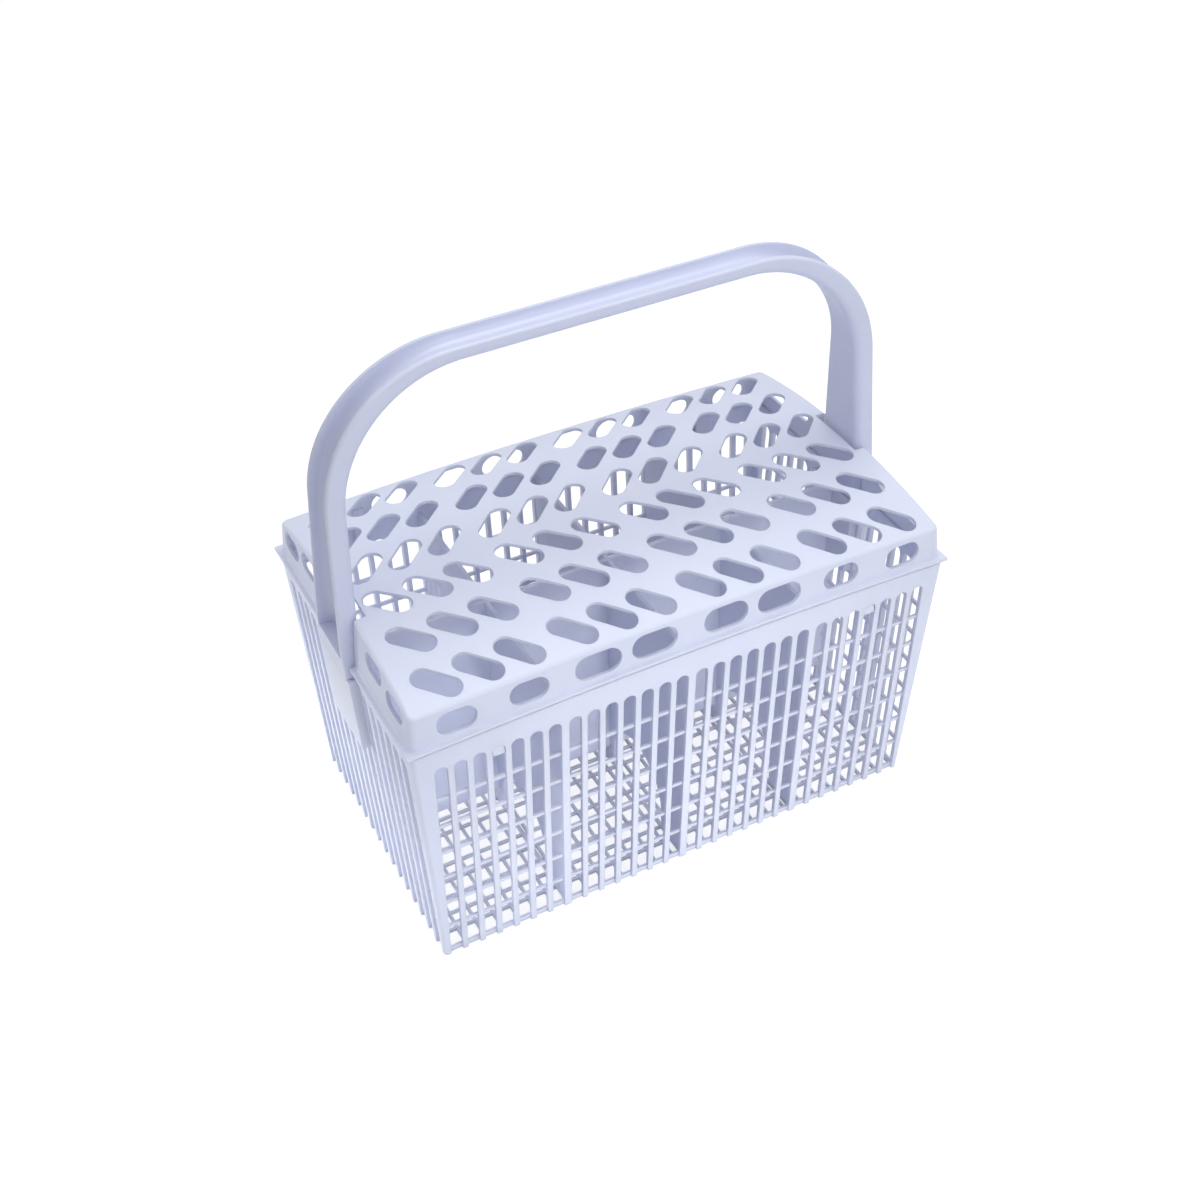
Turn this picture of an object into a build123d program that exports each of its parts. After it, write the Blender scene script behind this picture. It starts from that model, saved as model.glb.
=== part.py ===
from build123d import *
import math
import os

# Dishwasher cutlery basket: an open lattice tub, a crowned slotted lid and a carrying handle.
# Origin at the centre of the underside, X along the basket, Y across it, +Z up, millimetres.

os.makedirs("parts", exist_ok=True)

# Driving dimensions of the tub
rim_length = 239.0
rim_width = 143.0
rim_height = 122.0
bow_rise = 2.8
wall_draft = 2.55
wall = 2.4
rib_proud = 1.2
corner_radius = 2.0
corner_land = 0.6
groups = 4
group_columns = 7
end_columns = 16
bar_width = 2.45
group_bar = 3.3
window_draft = 8.0
rim_band = 8.8
cross_bar_height = 1.6
cross_bar_pitch = 15.5
floor_frame = 2.5
floor_thickness = 1.4
floor_columns = 27
floor_rows = 15
floor_bar = 1.2
floor_margin = 2.8
partition = 1.8
partition_drop = 1.0
long_partition_foot = 12.0
arch_radius = 22.0
arch_spring = 11.0
arch_offset = 26.0

# Driving dimensions of the handle sockets
socket_outset = 3.7
socket_wall = 1.5
socket_floor = 2.0
socket_depth = 41.0
socket_drop = 4.0
socket_clearance = 0.3
seat_gap = 0.1

# Driving dimensions of the lid
lid_height = 17.0
lid_wall = 1.5
lid_gap = 0.3
crown_rise = 8.2
lip_overhang = 0.6
end_overhang = 1.8
lip_height = 2.1
lip_seat_inset = 0.8
lip_reveal = 0.8
skirt_inset = 2.2
skirt_draft = 5.0
lid_corner_radius = 3.0
lid_inner_radius = 1.2
lid_edge_radius = 1.5
lip_cove = 1.2
lid_columns = 3
lid_rows = 3
lid_group_gap = 5.2
lid_slot_length = 20.6
lid_slot_width = 9.3
lid_slot_angle = 45.0
skirt_slot_drop = 7.8
inner_skirt_slot = (20.0, 11.0)
outer_skirt_slot = (16.5, 10.0)
inner_skirt_offset = 12.25
outer_skirt_offset = 14.9
end_skirt_slot = (16.0, 8.5)
end_slot_drop = 7.0
end_skirt_places = (34.8, 54.8)
notch_clearance = 0.8
notch_reach = 1.8
hook_clearance = 0.3
hook_thickness = 1.8
hook_nose_height = 5.0

# Driving dimensions of the handle
handle_rise = 124.2
handle_corner_radius = 56.0
handle_inner_radius = 52.0
leg_lean = 3.15
leg_bend_rise = 8.0
leg_bend_radius = 120.0
leg_width = 28.6
grip_width = 15.2
leg_depth = 8.4
grip_depth = 6.3
handle_web = 2.2
handle_flange = 2.2
gutter_lift = 5.5
gutter_radius = 3.5
handle_underside_radius = 3.5
handle_edge_radius = 1.0
foot_wall = 1.8

# Sizes that follow from the driving dimensions
lean = math.tan(math.radians(wall_draft))
base_length = rim_length - 2 * rim_height * lean
base_width = rim_width - 2 * rim_height * lean
slot_top = rim_height - rim_band
partition_top = rim_height - partition_drop
handle_height = rim_height + handle_rise
corner_post = wall + corner_land
side_bars = groups * (group_columns - 1) * bar_width + (groups - 1) * group_bar
slot_width = (base_length - 2 * corner_post - side_bars) / (groups * group_columns)
end_slot_width = (base_width - 2 * corner_post - (end_columns - 1) * bar_width) / end_columns
column_pitch = slot_width + bar_width
end_pitch = end_slot_width + bar_width
compartment_pitch = group_columns * column_pitch - bar_width + group_bar
group_centres = [(i - (groups - 1) / 2) * compartment_pitch for i in range(groups)]
bow_radius = ((rim_length / 2) ** 2 + bow_rise**2) / (2 * bow_rise)
bow_centre = rim_height + bow_rise - bow_radius
reach = rim_length + rim_width + handle_height
tolerance = 0.05


def centred(count, pitch):
    return [(i - (count - 1) / 2) * pitch for i in range(count)]


def bow_at(x):
    """Height of the bowed rim above its corners, at a place along the basket."""
    return math.sqrt(bow_radius**2 - x**2) - math.sqrt(bow_radius**2 - (rim_length / 2) ** 2)


def wall_at(z):
    """Place of the end wall's outer face along the basket, at a height."""
    return rim_length / 2 - (rim_height - z) * lean


def leaning_block(low_length, low_width, high_length, high_width, z_low, z_high):
    """A block with four flat leaning sides, between two heights."""
    corners = [(-0.5, -0.5), (0.5, -0.5), (0.5, 0.5), (-0.5, 0.5)]
    low = [(x * low_length, y * low_width, z_low) for x, y in corners]
    high = [(x * high_length, y * high_width, z_high) for x, y in corners]
    faces = [Face(Wire.make_polygon(low)), Face(Wire.make_polygon(high))]
    for i in range(4):
        j = (i + 1) % 4
        faces.append(Face(Wire.make_polygon([low[i], low[j], high[j], high[i]])))
    return Solid(Shell(faces))


def tub_block(inset, z_low, z_high):
    """The tub's leaning outline, moved inwards by an inset, between two heights."""
    grow_low = 2 * (z_low * lean - inset)
    grow_high = 2 * (z_high * lean - inset)
    return leaning_block(base_length + grow_low, base_width + grow_low,
                         base_length + grow_high, base_width + grow_high, z_low, z_high)


def upright_edges(block):
    return block.edges().filter_by(lambda edge: abs(edge.tangent_at(0.5).Z) > 0.9)


def bowed_slab(z_low, z_high):
    """Everything between two heights that follow the bow of the rim, given at the rim's corners."""
    half = reach / 2
    low = [(-half, z_low + bow_at(half)), (0, z_low + bow_rise), (half, z_low + bow_at(half))]
    high = [(-half, z_high + bow_at(half)), (0, z_high + bow_rise), (half, z_high + bow_at(half))]
    arcs = [ThreePointArc(*low), ThreePointArc(*high)]
    outline = Curve() + [*arcs, Line(low[0], high[0]), Line(low[2], high[2])]
    return extrude(Plane.XZ * make_face(outline), amount=half, both=True)


def below_bow(z_high):
    """Everything under a height that follows the bow of the rim."""
    half = reach / 2
    high = [(-half, z_high + bow_at(half)), (0, z_high + bow_rise), (half, z_high + bow_at(half))]
    low = [(half, -half), (-half, -half)]
    outline = Curve() + [ThreePointArc(*high), Polyline(high[2], *low, high[0])]
    return extrude(Plane.XZ * make_face(outline), amount=half, both=True)


# Handle sockets: where the legs stand, shared by the tub, the lid and the handle
leg_slope = math.tan(math.radians(leg_lean))
leg_bend = rim_height + leg_bend_rise
leg_outer = wall_at(leg_bend) + socket_outset
leg_inset = leg_depth - socket_outset
socket_low = rim_height - socket_depth
socket_top = rim_height - socket_drop
socket_half_width = leg_width / 2 + socket_clearance
foot_outset = socket_outset - socket_wall - socket_clearance


def box_between(low, high):
    size = [b - a for a, b in zip(low, high)]
    middle = [(a + b) / 2 for a, b in zip(low, high)]
    return Pos(*middle) * Box(*size)


def foot_block(side, near, far, half_width, z_low, z_high):
    """A block that leans with one end wall, from near to far as measured out from the wall's outer face."""
    low = wall_at(z_low)
    high = wall_at(z_high)
    corners = [(low + near, z_low), (low + far, z_low), (high + far, z_high), (high + near, z_high)]
    block = extrude(Plane.XZ * Polygon(*corners, align=None), amount=half_width, both=True)
    return block if side > 0 else mirror(block, about=Plane.YZ)


def column_slot(width, top, low):
    """A tall window with a round top, as a flat outline."""
    radius = width / 2
    tall = top - radius - low
    return Pos(0, low + tall / 2) * Rectangle(width, tall) + Pos(0, top - radius) * Circle(radius)


def wall_windows(places, width, half_base):
    """Cutters for the tall windows of a front wall, wider inside than outside, and open below."""
    slope = math.radians(wall_draft)
    outwards = (0, -math.cos(slope), -math.sin(slope))
    face = Plane(origin=(0, -half_base, 0), x_dir=(1, 0, 0), z_dir=outwards)
    depth = wall + rib_proud / 2
    widen = depth * math.tan(math.radians(window_draft))
    shape = column_slot(width + 2 * widen, slot_top / math.cos(slope) + widen, -floor_frame)
    window = extrude(face.offset(-depth) * shape, amount=depth + wall, taper=window_draft)
    return [Pos(place, 0, 0) * window for place in places]


def basket_body():
    sockets = []
    cavities = []
    for side in (-1, 1):
        near = -leg_inset - socket_clearance
        far = socket_outset - socket_wall
        cavities.append(foot_block(side, near, far, socket_half_width, socket_low + socket_floor, reach / 2))
        sockets.append(foot_block(side, near - socket_wall, socket_outset, socket_half_width + socket_wall,
                                  socket_low, socket_top))

    tub = fillet(upright_edges(tub_block(0, 0, rim_height + 2 * bow_rise)), corner_radius)
    tub = tub - tub_block(wall, -floor_thickness, rim_height + 3 * bow_rise)
    side_places = [centre + x for centre in group_centres for x in centred(group_columns, column_pitch)]
    side_windows = wall_windows(side_places, slot_width, base_width / 2)
    end_windows = wall_windows(centred(end_columns, end_pitch), end_slot_width, base_length / 2)
    windows = []
    for turn in (0, 180):
        windows += [Rot(0, 0, turn) * window for window in side_windows]
        windows += [Rot(0, 0, turn + 90) * window for window in end_windows]
    tub = (tub & below_bow(rim_height)).cut(*windows, *cavities)

    bars = [(0, floor_frame)]
    level = floor_frame / 2 + cross_bar_pitch
    while level + cross_bar_height < slot_top - slot_width / 2:
        bars.append((level - cross_bar_height / 2, level + cross_bar_height / 2))
        level += cross_bar_pitch
    additions = []
    for low, high in bars:
        ring = tub_block(rib_proud, low, high) - tub_block(wall, low, high)
        additions.append(ring.cut(*cavities))

    pitch_along = (base_length - 2 * floor_margin + floor_bar) / floor_columns
    pitch_across = (base_width - 2 * floor_margin + floor_bar) / floor_rows
    holes = [Pos(x, y) * Wire.make_rect(pitch_along - floor_bar, pitch_across - floor_bar)
             for x in centred(floor_columns, pitch_along) for y in centred(floor_rows, pitch_across)]
    grid = Face(Wire.make_rect(base_length - 2 * rib_proud, base_width - 2 * rib_proud), holes)
    additions.append(extrude(grid, amount=floor_thickness, dir=(0, 0, 1)))

    inside = tub_block(wall / 2, floor_thickness / 2, partition_top)
    arch = Pos(0, arch_spring / 2) * Rectangle(2 * arch_radius, arch_spring)
    arch += Pos(0, arch_spring) * Circle(arch_radius)
    low_arch = Pos(0, floor_thickness) * (arch & Pos(0, reach / 2) * Rectangle(reach, reach))
    arches = Sketch() + [Pos(arch_offset, 0) * low_arch, Pos(-arch_offset, 0) * low_arch]
    arches = extrude(Plane.YZ * arches, amount=reach / 2, both=True)
    for i in range(1, groups):
        place = (group_centres[i - 1] + group_centres[i]) / 2
        plate = inside & Pos(place, 0, 0) * Box(partition, reach, reach)
        additions.append(plate - arches)
    long_gap = (-reach, -partition / 2, long_partition_foot)
    long_plate = inside & box_between(long_gap, (reach, partition / 2, reach))
    additions.append(long_plate.cut(*cavities))
    additions += [socket - cavity for socket, cavity in zip(sockets, cavities)]
    return tub.fuse(*additions)


# Lid sizes that follow from the tub and the handle
lip_length = rim_length + 2 * end_overhang
lip_width = rim_width + 2 * lip_overhang
lip_low = rim_height + lid_gap
lip_top = lip_low + lip_height
lid_edge = rim_height + lid_height
skirt_lean = math.tan(math.radians(skirt_draft))
lid_top_inset = skirt_inset + (lid_edge - lip_top) * skirt_lean
lid_half_length = lip_length / 2 - lid_top_inset
lid_half_width = lip_width / 2 - lid_top_inset
crown_radius = (lid_half_width**2 + crown_rise**2) / (2 * crown_rise)


def crown_at(y):
    """Height of the crowned top above the lid's edge, at a place across the lid."""
    return math.sqrt(crown_radius**2 - y**2) - math.sqrt(crown_radius**2 - lid_half_width**2)


def below_crown(drop):
    """Everything under the lid's top, which is crowned across the lid and bowed along it."""
    half = lip_width / 2 + lip_height
    top = lid_edge + bow_rise - drop
    low = rim_height / 2
    arc = ThreePointArc((-half, top + crown_at(half)), (0, top + crown_rise), (half, top + crown_at(half)))
    outline = Curve() + [arc, Polyline((half, top + crown_at(half)), (half, low), (-half, low),
                                       (-half, top + crown_at(half)))]
    axis = Axis((0, 0, bow_centre), (0, 1, 0))
    sweep = 2 * math.degrees(math.asin(lip_length / bow_radius))
    face = (Plane.YZ * make_face(outline)).rotate(axis, -sweep / 2)
    return revolve(face, axis=axis, revolution_arc=sweep)


def skirt_block(inset, z_low, z_high):
    """The lid's leaning skirt outline, moved inwards by an inset, between two heights."""
    shrink_low = 2 * (skirt_inset + inset + (z_low - lip_top) * skirt_lean)
    shrink_high = 2 * (skirt_inset + inset + (z_high - lip_top) * skirt_lean)
    return leaning_block(lip_length - shrink_low, lip_width - shrink_low,
                         lip_length - shrink_high, lip_width - shrink_high, z_low, z_high)


def skirt_slots(plane, places, size, near, far):
    """Cutters for oval slots through one side of the skirt, placed along the side and by height."""
    outline = Sketch() + [Pos(*place) * SlotOverall(*size) for place in places]
    return extrude(plane.offset(near) * outline, amount=far - near)


def lid_slots():
    """Cutters for the slanted slots in the top, three rows to each half, mirrored about the middle."""
    pitch = (compartment_pitch - lid_group_gap) / lid_columns
    row_pitch = lid_half_width / lid_rows
    places = [centre + x for centre in group_centres for x in centred(lid_columns, pitch)]
    outline = Sketch()
    for side in (-1, 1):
        slot = SlotOverall(lid_slot_length, lid_slot_width, rotation=side * lid_slot_angle)
        for row in range(lid_rows):
            outline += [Pos(x, side * (row + 0.5) * row_pitch) * slot for x in places]
    low = lid_edge - crown_rise
    return extrude(Pos(0, 0, low) * outline, amount=lid_edge + 2 * crown_rise - low)


def lip_shadow_gap():
    """Cutter for the shallow gap between the lip's outer edge and the rim, around the face that the lid sits on."""
    length = rim_length - 2 * lip_seat_inset
    width = rim_width - 2 * lip_seat_inset
    seat = leaning_block(length, width, length, width, rim_height - lip_height, lid_edge)
    return bowed_slab(lip_low - lip_height, lip_low + lip_reveal) - seat


def snap_hook(x, side):
    """A tongue inside the long wall, with a nose that fills the round top of one window."""
    width = slot_width - 2 * hook_clearance
    low = slot_top - hook_nose_height
    wall_outer = rim_width / 2 - (rim_height - low) * lean
    back = wall_outer - wall - hook_clearance
    root = lid_edge - hook_nose_height
    tongue = box_between((x - width / 2, -back, low), (x + width / 2, hook_thickness - back, root))
    nose = column_slot(width, slot_top - hook_clearance, low)
    plane = Plane.XZ.offset(back - hook_thickness / 2)
    nose = extrude(plane * Pos(x, 0) * nose, amount=hook_thickness / 2 + wall)
    hook = tongue.fuse(nose)
    return hook if side < 0 else mirror(hook, about=Plane.XZ)


def lies_on_lip(point):
    """Whether a point is on the lip's top face, at the root of the skirt."""
    on_top = abs(point.Z - lip_top - bow_at(point.X)) < tolerance
    return on_top and max(abs(point.X) - lip_length / 2, abs(point.Y) - lip_width / 2) < -skirt_inset / 2


def slotted_lid():
    high = lid_edge + 2 * crown_rise
    skirt = fillet(upright_edges(skirt_block(0, lip_low - bow_rise, high)), lid_corner_radius)
    shell = skirt & below_crown(0)
    crown_edges = shell.edges().filter_by(lambda edge: edge.center().Z > lid_edge - bow_rise)
    crown_edges = crown_edges.filter_by(lambda edge: abs(edge.tangent_at(0.5).Z) < 0.9)
    shell = fillet(crown_edges, lid_edge_radius)
    lip = leaning_block(lip_length, lip_width, lip_length, lip_width, rim_height - bow_rise, lid_edge)
    shell = shell.fuse(lip & bowed_slab(lip_low, lip_top))
    root = shell.edges().filter_by(lambda edge: lies_on_lip(edge.center()))
    shell = fillet(root, lip_cove)
    cavity = skirt_block(lid_wall, lip_low - 2 * bow_rise, high)
    cavity = fillet(upright_edges(cavity), lid_inner_radius) & below_crown(lid_wall)

    cutters = [cavity, below_bow(lip_low), lip_shadow_gap(), lid_slots()]
    for side in (-1, 1):
        plane = Plane.XZ if side < 0 else Plane.XZ.rotated((0, 0, 180))
        near = lid_half_width - lid_corner_radius
        for i, centre in enumerate(group_centres):
            outermost = i in (0, groups - 1)
            size = outer_skirt_slot if outermost else inner_skirt_slot
            offset = outer_skirt_offset if outermost else inner_skirt_offset
            level = lid_edge - skirt_slot_drop
            places = [(x, level + bow_at(x)) for x in (centre - offset, centre + offset)]
            cutters.append(skirt_slots(plane, places, size, near, lip_width))
        plane = Plane.YZ if side > 0 else Plane.YZ.rotated((0, 0, 180))
        places = [(y, lid_edge + crown_at(y) - end_slot_drop) for y in end_skirt_places]
        places += [(-y, z) for y, z in places]
        near = lid_half_length - lid_corner_radius
        cutters.append(skirt_slots(plane, places, end_skirt_slot, near, lip_length))
        near = leg_outer - (high - leg_bend) * leg_slope - leg_depth - notch_reach
        half = leg_width / 2 + notch_clearance
        notch = box_between((near, -half, rim_height - bow_rise), (lip_length, half, high))
        cutters.append(notch if side > 0 else mirror(notch, about=Plane.YZ))
    shell = shell.cut(*cutters)

    hooks = [snap_hook(x, side) for x in (group_centres[0], group_centres[-1]) for side in (-1, 1)]
    return shell.fuse(*hooks)


# Handle sizes that follow from the sockets
foot_low = socket_low + socket_floor + socket_clearance
gutter_foot = rim_height + gutter_lift
width_slope = (leg_width - grip_width) / 2 / (handle_height - leg_bend)


def arch_line(inset, top, corner):
    """A line up one foot and leg, over the level top and down the other leg, in the middle plane."""
    leg = leg_outer - inset
    shoulder = leg - (top - leg_bend) * leg_slope
    foot = leg - (leg_bend - foot_low) * lean
    right = [(shoulder, top), (leg, leg_bend), (foot, foot_low)]
    points = [(-x, z) for x, z in reversed(right)] + right
    return Plane.XZ * FilletPolyline(*points, radius=[leg_bend_radius, corner, corner, leg_bend_radius])


def inside_arch(line):
    """Everything inside an arch line, over more than the handle's width."""
    return extrude(make_face(Curve() + [line, Line(line @ 1, line @ 0)]), amount=leg_width, both=True)


def between_sides(inset, low, high):
    """Everything between the handle's two sides, which close in towards the grip, moved in by an inset."""
    half = leg_width / 2 - inset
    half_top = half - (high - leg_bend) * width_slope
    right = FilletPolyline((half, foot_low), (half, leg_bend), (half_top, high), radius=leg_bend_radius)
    left = mirror(right, about=Plane.YZ)
    outline = Curve() + [right, left, Line(right @ 0, left @ 0), Line(right @ 1, left @ 1)]
    slab = extrude(Plane.YZ * make_face(outline), amount=2 * leg_outer, both=True)
    return slab & Pos(0, 0, low + reach / 2) * Box(reach, reach, reach)


def edges_along(shape, line):
    """Edges of a shape that follow an arch line, on both sides of the middle plane."""
    edges = shape.edges().filter_by(lambda edge: abs(edge.tangent_at(0.5).Y) < 0.5)
    return edges.filter_by(
        lambda edge: line.distance_to(Vertex(edge.center().X, 0, edge.center().Z)) < tolerance)


def carry_handle():
    above = handle_height + grip_depth
    grip_low = handle_height - grip_depth
    inner = arch_line(leg_depth, grip_low, handle_inner_radius)
    floor = arch_line(leg_depth - handle_web, grip_low + handle_web, handle_inner_radius + handle_web)
    outer = arch_line(0, handle_height, handle_corner_radius)
    bar = (inside_arch(outer) - inside_arch(inner)) & between_sides(0, foot_low, above)
    bar = fillet(edges_along(bar, inner), handle_underside_radius)
    bar = fillet(edges_along(bar, outer), handle_edge_radius)

    gutter = between_sides(handle_flange, gutter_foot, above) - inside_arch(floor)
    bar = bar - fillet(edges_along(gutter, floor), gutter_radius)
    for side in (-1, 1):
        bar = bar - foot_block(side, foot_outset, socket_outset + leg_depth, leg_width, 0, socket_top + seat_gap)
        core_half = leg_width / 2 - foot_wall
        bar = bar - foot_block(side, foot_wall - leg_inset, foot_outset - foot_wall, core_half, 0, socket_top)
    return bar


export_step(basket_body(), "parts/basket_body.step")
export_step(slotted_lid(), "parts/slotted_lid.step")
export_step(carry_handle(), "parts/carry_handle.step")
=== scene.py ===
import math

import bmesh
import bpy
from mathutils import Matrix, Vector


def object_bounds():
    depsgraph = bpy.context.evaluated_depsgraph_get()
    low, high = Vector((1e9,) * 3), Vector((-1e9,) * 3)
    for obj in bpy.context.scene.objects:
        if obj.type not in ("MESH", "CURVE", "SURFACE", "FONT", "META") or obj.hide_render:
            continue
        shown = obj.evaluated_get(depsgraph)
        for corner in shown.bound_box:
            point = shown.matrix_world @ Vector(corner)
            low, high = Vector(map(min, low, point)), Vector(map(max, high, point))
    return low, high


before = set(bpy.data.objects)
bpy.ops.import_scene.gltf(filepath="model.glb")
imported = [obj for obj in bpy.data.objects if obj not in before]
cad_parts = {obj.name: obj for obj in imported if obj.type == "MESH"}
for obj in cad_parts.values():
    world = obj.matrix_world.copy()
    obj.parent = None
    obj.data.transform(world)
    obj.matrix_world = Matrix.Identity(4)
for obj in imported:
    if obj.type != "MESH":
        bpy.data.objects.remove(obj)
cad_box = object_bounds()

# The basket itself: one moulding in pale plastic, an open lattice with a grid floor and inner partitions.
# It has a fine satin grain, and its thin bars let a little light through.
# Everything else is fixed to it: the lid snaps over its rim and the handle stands in its end sockets.
basket_colour = (0.765, 0.790, 0.925, 1.0)
basket_shade = (0.740, 0.765, 0.910, 1.0)
basket_roughness = 0.42
basket_glow = 0.50
mottle_scale = 22.0
mottle_detail = 3.0
mottle_edges = (0.35, 0.65)
gloss_change = 0.05
grain_scale = 900.0
grain_detail = 2.0
grain_height = 0.00004
grain_strength = 0.35
moulded_edge = 0.00035
glow_depth = (0.004, 0.004, 0.005)
plastic_ior = 1.49


def joined(tree, source, output, target, socket):
    tree.links.new(source.outputs[output], target.inputs[socket])


def moulded_plastic(name, colour, shade, roughness, glow):
    """Satin moulded plastic: a faint mottle in its colour, a fine grain and softly rounded edges."""
    material = bpy.data.materials.new(name)
    material.use_nodes = True
    tree = material.node_tree
    shader = tree.nodes["Principled BSDF"]
    place = tree.nodes.new("ShaderNodeTexCoord")

    mottle = tree.nodes.new("ShaderNodeTexNoise")
    mottle.inputs["Scale"].default_value = mottle_scale
    mottle.inputs["Detail"].default_value = mottle_detail
    tint = tree.nodes.new("ShaderNodeValToRGB")
    for stop, edge, stop_colour in zip(tint.color_ramp.elements, mottle_edges, (shade, colour)):
        stop.position = edge
        stop.color = stop_colour
    joined(tree, place, "Object", mottle, "Vector")
    joined(tree, mottle, "Fac", tint, "Fac")
    joined(tree, tint, "Color", shader, "Base Color")

    gloss = tree.nodes.new("ShaderNodeMapRange")
    gloss.inputs["To Min"].default_value = roughness - gloss_change
    gloss.inputs["To Max"].default_value = roughness + gloss_change
    joined(tree, mottle, "Fac", gloss, "Value")
    joined(tree, gloss, "Result", shader, "Roughness")

    grain = tree.nodes.new("ShaderNodeTexNoise")
    grain.inputs["Scale"].default_value = grain_scale
    grain.inputs["Detail"].default_value = grain_detail
    edges = tree.nodes.new("ShaderNodeBevel")
    edges.samples = 4
    edges.inputs["Radius"].default_value = moulded_edge
    bump = tree.nodes.new("ShaderNodeBump")
    bump.inputs["Strength"].default_value = grain_strength
    bump.inputs["Distance"].default_value = grain_height
    joined(tree, place, "Object", grain, "Vector")
    joined(tree, grain, "Fac", bump, "Height")
    joined(tree, edges, "Normal", bump, "Normal")
    joined(tree, bump, "Normal", shader, "Normal")

    shader.inputs["Subsurface Weight"].default_value = glow
    shader.inputs["Subsurface Radius"].default_value = glow_depth
    shader.inputs["Subsurface Scale"].default_value = 1.0
    shader.inputs["IOR"].default_value = plastic_ior
    return material


def finish_node(node, material):
    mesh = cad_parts[node].data
    mesh.materials.clear()
    mesh.materials.append(material)


basket_satin = moulded_plastic("basket_satin", basket_colour, basket_shade, basket_roughness, basket_glow)
finish_node("basket_body", basket_satin)

# The lid: a second moulding in the same plastic, crowned across and bowed along, with slanted slots.
# Its lip sits on the basket's rim, and four hooks under it snap into the tops of four windows.
lid_roughness = 0.38
lid_glow = 0.30
lid_satin = moulded_plastic("lid_satin", basket_colour, basket_shade, lid_roughness, lid_glow)
finish_node("slotted_lid", lid_satin)

# The carrying handle: a third moulding, a gutter-shaped arch in a slightly deeper and smoother plastic.
# Its two feet stand in the sockets on the basket's ends.
handle_colour = (0.710, 0.734, 0.870, 1.0)
handle_shade = (0.690, 0.714, 0.856, 1.0)
handle_roughness = 0.33
handle_glow = 0.20
handle_satin = moulded_plastic("handle_satin", handle_colour, handle_shade, handle_roughness, handle_glow)
finish_node("carry_handle", handle_satin)

# The table that the basket stands on: a plain white sheet, far wider than the picture.
# It is white to the camera and keeps the basket's soft shadow.
floor_reach = 3.0
paper_colour = (0.88, 0.88, 0.88, 1.0)
paper_roughness = 0.9
shadow_colour = (0.45, 0.45, 0.45, 1.0)
paper_lift = 0.74


def shown_to_camera(tree, unseen, seen, surface):
    """Show one shader to the camera and another to all other rays."""
    rays = tree.nodes.new("ShaderNodeLightPath")
    choice = tree.nodes.new("ShaderNodeMixShader")
    joined(tree, rays, "Is Camera Ray", choice, "Fac")
    joined(tree, unseen, 0, choice, 1)
    joined(tree, seen, 0, choice, 2)
    joined(tree, choice, "Shader", surface, "Surface")


sheet = bmesh.new()
bmesh.ops.create_grid(sheet, x_segments=1, y_segments=1, size=floor_reach)
floor_mesh = bpy.data.meshes.new("table_sheet")
sheet.to_mesh(floor_mesh)
sheet.free()
floor = bpy.data.objects.new("table_sheet", floor_mesh)
bpy.context.scene.collection.objects.link(floor)

paper = bpy.data.materials.new("white_paper")
paper.use_nodes = True
paper_tree = paper.node_tree
matt = paper_tree.nodes["Principled BSDF"]
matt.inputs["Base Color"].default_value = paper_colour
matt.inputs["Roughness"].default_value = paper_roughness
pale = paper_tree.nodes.new("ShaderNodeBsdfDiffuse")
pale.inputs["Color"].default_value = shadow_colour
lift = paper_tree.nodes.new("ShaderNodeEmission")
lift.inputs["Strength"].default_value = paper_lift
lifted = paper_tree.nodes.new("ShaderNodeAddShader")
joined(paper_tree, pale, "BSDF", lifted, 0)
joined(paper_tree, lift, "Emission", lifted, 1)
shown_to_camera(paper_tree, matt, lifted, paper_tree.nodes["Material Output"])
floor_mesh.materials.append(paper)

# The studio: a cool white surround, a broad key lamp overhead, a weak fill in front and two low strips.
# The camera stands where the photograph was taken from.
studio_tint = (0.92, 0.945, 1.0)
surround_strength = 0.50
low, high = cad_box
middle = (low + high) / 2


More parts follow.
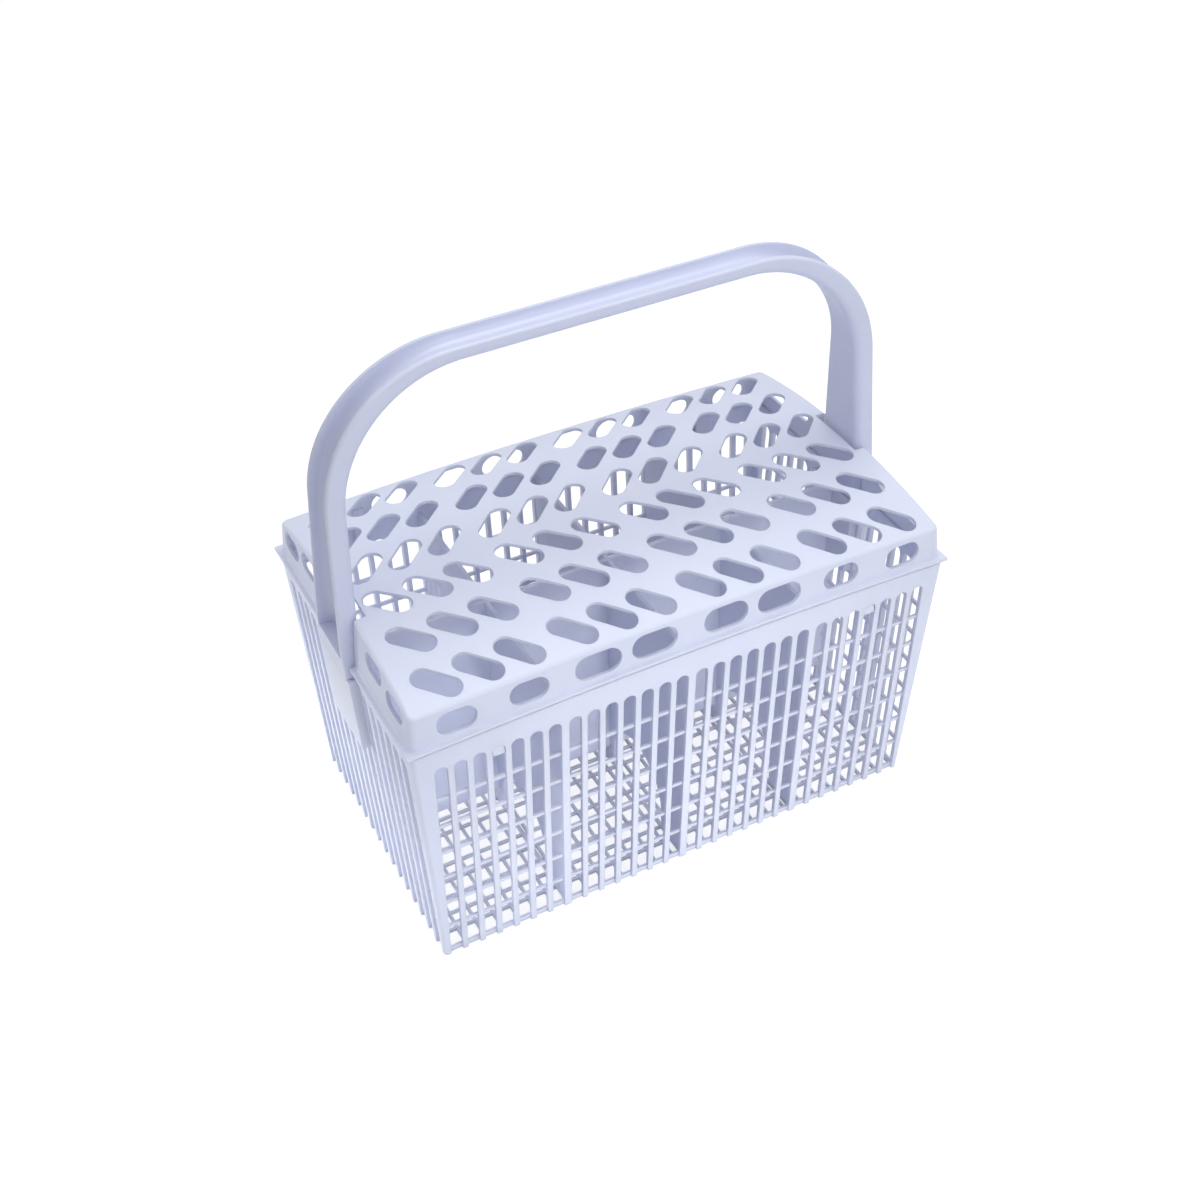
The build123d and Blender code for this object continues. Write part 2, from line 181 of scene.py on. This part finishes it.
def softbox(name, place, size, power, aim=middle, spread=180.0):
    lamp = bpy.data.lights.new(name, "AREA")
    lamp.shape = "SQUARE"
    lamp.size = size
    lamp.energy = power
    lamp.color = studio_tint
    lamp.spread = math.radians(spread)
    box = bpy.data.objects.new(name, lamp)
    box.location = place
    box.rotation_euler = (Vector(aim) - Vector(place)).to_track_quat("-Z", "Y").to_euler()
    bpy.context.scene.collection.objects.link(box)


left_wall_foot = (-0.115, 0.0, 0.02)
front_wall_foot = (0.0, -0.07, 0.02)
softbox("key_softbox", place=(0.20, 0.12, 1.25), size=0.7, power=6.2)
softbox("fill_softbox", place=(0.10, -1.00, 0.75), size=0.6, power=3.0)
softbox("left_strip", place=(-0.74, 0.60, 0.12), size=0.12, power=0.070, aim=left_wall_foot, spread=16.0)
softbox("front_strip", place=(0.05, -0.90, 0.10), size=0.12, power=0.055, aim=front_wall_foot, spread=24.0)

world = bpy.data.worlds.new("white_surround")
bpy.context.scene.world = world
world.use_nodes = True
world_tree = world.node_tree
surround = world_tree.nodes["Background"]
surround.inputs["Color"].default_value = (*studio_tint, 1.0)
surround.inputs["Strength"].default_value = surround_strength
bright = world_tree.nodes.new("ShaderNodeBackground")
bright.inputs["Color"].default_value = (1.0, 1.0, 1.0, 1.0)
bright.inputs["Strength"].default_value = 1.0
shown_to_camera(world_tree, surround, bright, world_tree.nodes["World Output"])

view_azimuth = math.radians(-26.969)
view_elevation = math.radians(39.994)
view_roll = math.radians(-1.416)
camera_place = Vector((-0.2536, -0.4903, 0.5615))
lens = bpy.data.cameras.new("photo_camera")
lens.sensor_width = 36.0
lens.lens = 50.44
camera = bpy.data.objects.new("photo_camera", lens)
turn = Matrix.Rotation(view_azimuth, 4, "Z") @ Matrix.Rotation(math.pi / 2 - view_elevation, 4, "X")
camera.matrix_world = Matrix.Translation(camera_place) @ turn @ Matrix.Rotation(view_roll, 4, "Z")
bpy.context.scene.collection.objects.link(camera)
bpy.context.scene.camera = camera
bpy.context.scene.view_settings.view_transform = "Standard"
